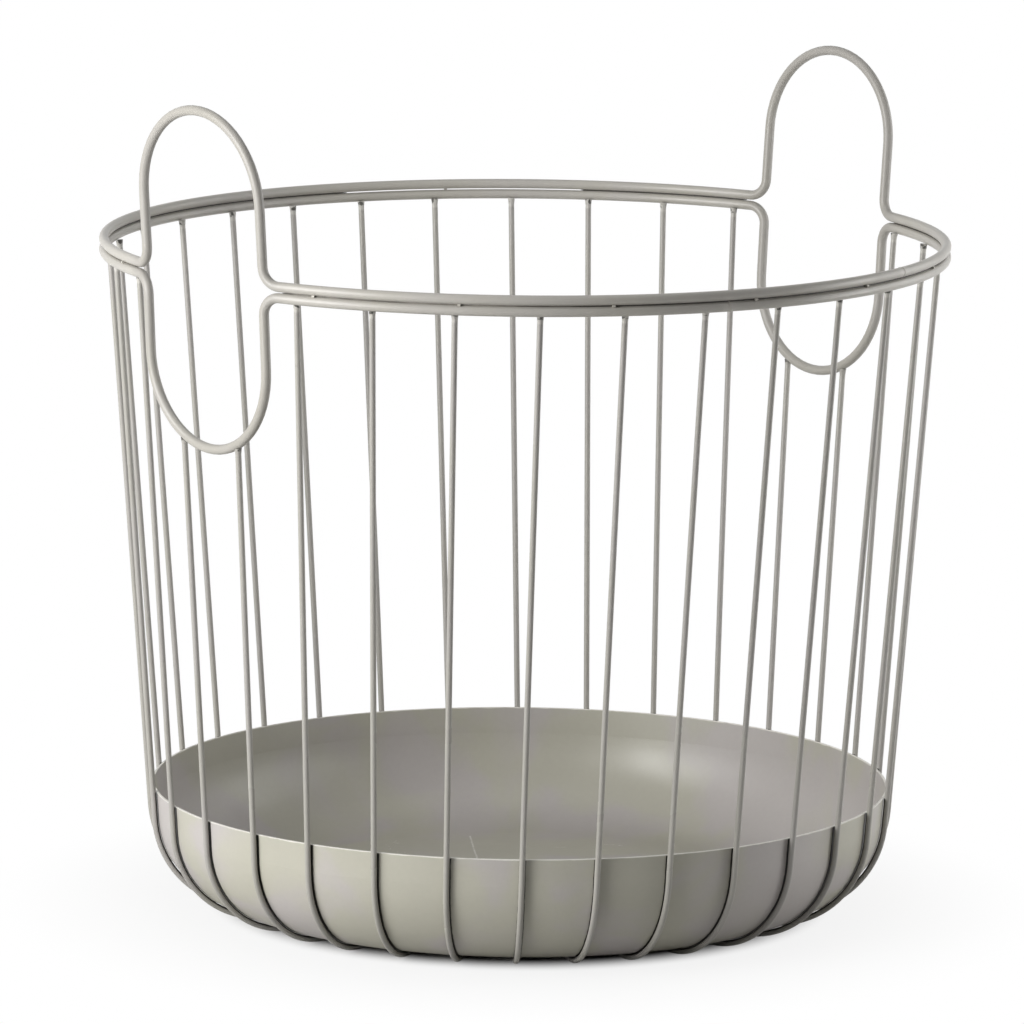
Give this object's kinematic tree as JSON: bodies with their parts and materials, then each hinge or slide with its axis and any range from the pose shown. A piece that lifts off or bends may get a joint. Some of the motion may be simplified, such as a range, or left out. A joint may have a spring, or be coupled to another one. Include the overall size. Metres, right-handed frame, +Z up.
{
  "type": "round wire basket",
  "caption": "Open round tapered basket of coated steel wire: a doubled rim bent into two arched handles with loops below, straight staves and a shallow sheet tray as its floor.",
  "frame": {"origin": "on the floor at the basket's axis, under the feet of the staves", "axes": "+Z up, +X towards one of the two handles, +Y across between the handles"},
  "size_m": [0.402, 0.4, 0.3952],
  "materials": {
    "coated_wire": "satin powder coat, warm grey",
    "coated_sheet": "satin powder coat, warm grey"
  },
  "bodies": {
    "root": {"rim_wire_upper": "coated_wire", "rim_wire_lower": "coated_wire", "tray": "coated_sheet", "rim_tack_welds": "coated_wire", "rim_seam_welds": "coated_wire", "foot_welds": "coated_wire", "stave_01": "coated_wire", "stave_02": "coated_wire", "stave_03": "coated_wire", "stave_04": "coated_wire", "stave_05": "coated_wire", "stave_06": "coated_wire", "stave_07": "coated_wire", "stave_08": "coated_wire", "stave_09": "coated_wire", "stave_10": "coated_wire", "stave_11": "coated_wire", "stave_12": "coated_wire", "stave_13": "coated_wire", "stave_14": "coated_wire", "stave_15": "coated_wire", "stave_16": "coated_wire", "stave_17": "coated_wire", "stave_18": "coated_wire", "stave_19": "coated_wire", "stave_20": "coated_wire", "stave_21": "coated_wire", "stave_22": "coated_wire", "stave_23": "coated_wire", "stave_24": "coated_wire", "stave_25": "coated_wire", "stave_26": "coated_wire", "stave_27": "coated_wire", "stave_28": "coated_wire", "stave_29": "coated_wire", "stave_30": "coated_wire", "stave_31": "coated_wire", "stave_32": "coated_wire"}
  },
  "joints": []
}
